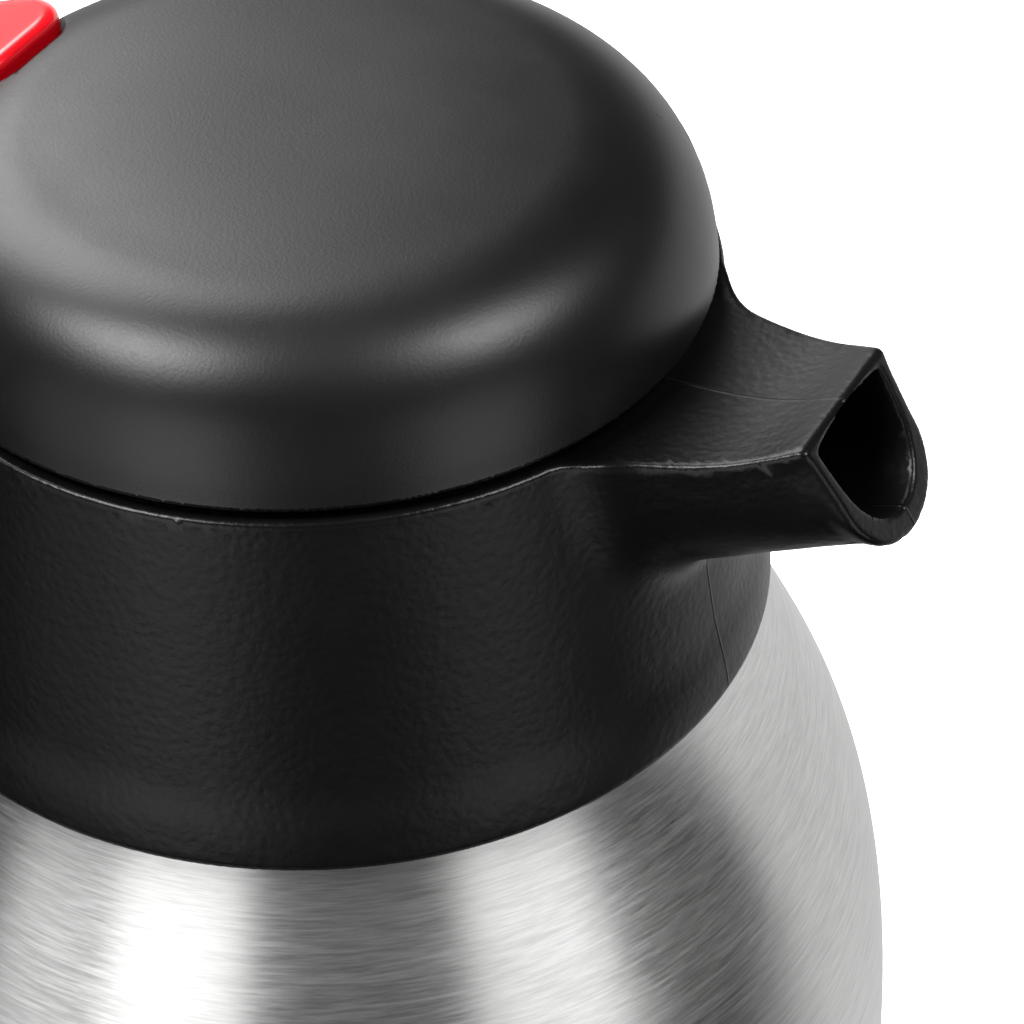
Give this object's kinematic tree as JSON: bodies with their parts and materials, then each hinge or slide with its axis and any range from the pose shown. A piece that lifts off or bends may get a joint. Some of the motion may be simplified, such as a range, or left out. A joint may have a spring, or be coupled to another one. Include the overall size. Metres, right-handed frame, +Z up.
{
  "type": "thermal carafe",
  "caption": "Thermal carafe with a double-walled steel body, black pouring collar and spout, hinged domed lid with a pour valve, red thumb lever and a loop handle.",
  "frame": {"origin": "middle of the foot pad's resting face", "axes": "+Z up, +X towards the spout, -X towards the handle and the lid's hinge"},
  "size_m": [0.1925, 0.1444, 0.2095],
  "materials": {
    "brushed_body": "fine brushing that runs round the body",
    "inner_steel": "drawn and lightly brushed",
    "getter_metal": "dull pressed metal",
    "collar_plastic": "fine matte grain",
    "dome_plastic": "satin with a fine grain",
    "black_plastic": "smooth satin",
    "foot_rubber": "matte",
    "seal_rubber": "smooth",
    "pin_steel": "bright turned steel",
    "red_plastic": "polished"
  },
  "bodies": {
    "flask": {"outer_shell": "brushed_body", "inner_flask": "inner_steel", "shell_bottom": "inner_steel", "getter": "getter_metal", "base_cover": "black_plastic", "base_pad": "foot_rubber", "neck_gasket": "seal_rubber", "neck_ring": "black_plastic", "collar": "collar_plastic", "hinge_pin": "pin_steel", "handle_inner": "black_plastic", "handle_cover": "dome_plastic", "handle_bracket": "inner_steel", "handle_screws": "pin_steel", "bracket_screw": "pin_steel"},
    "lid": {"lid_dome": "dome_plastic", "lid_liner": "black_plastic", "lid_screws": "pin_steel", "stopper_housing": "black_plastic", "stopper_cage": "black_plastic", "stopper_gasket": "seal_rubber", "lever_pin": "pin_steel", "valve_spring": "pin_steel"},
    "lever": {"pour_lever": "red_plastic"},
    "valve": {"valve_stem": "pin_steel", "valve_disc": "black_plastic", "valve_seal": "seal_rubber", "stem_clip": "pin_steel"}
  },
  "joints": [
    {"name": "lid_hinge", "type": "hinge", "parent": "flask", "child": "lid", "pos_m": [-0.054, 0, 0.19], "axis": [0, -1, 0], "range_deg": [0, 95]},
    {"name": "lever_press", "type": "hinge", "parent": "lid", "child": "lever", "pos_m": [-0.03, 0, 0.197], "axis": [0, -1, 0], "range_deg": [0, 8]},
    {"name": "valve_lift", "type": "slide", "parent": "lid", "child": "valve", "axis": [0, 0, 1], "range_m": [0, 0.00418], "stiffness_N_per_m": 200, "springref_m": -0.003, "deforming": ["valve_spring"]}
  ],
  "couplings": [
    {"joint": "lever_press", "follows": "valve_lift", "rad_per_m": 33.3}
  ]
}
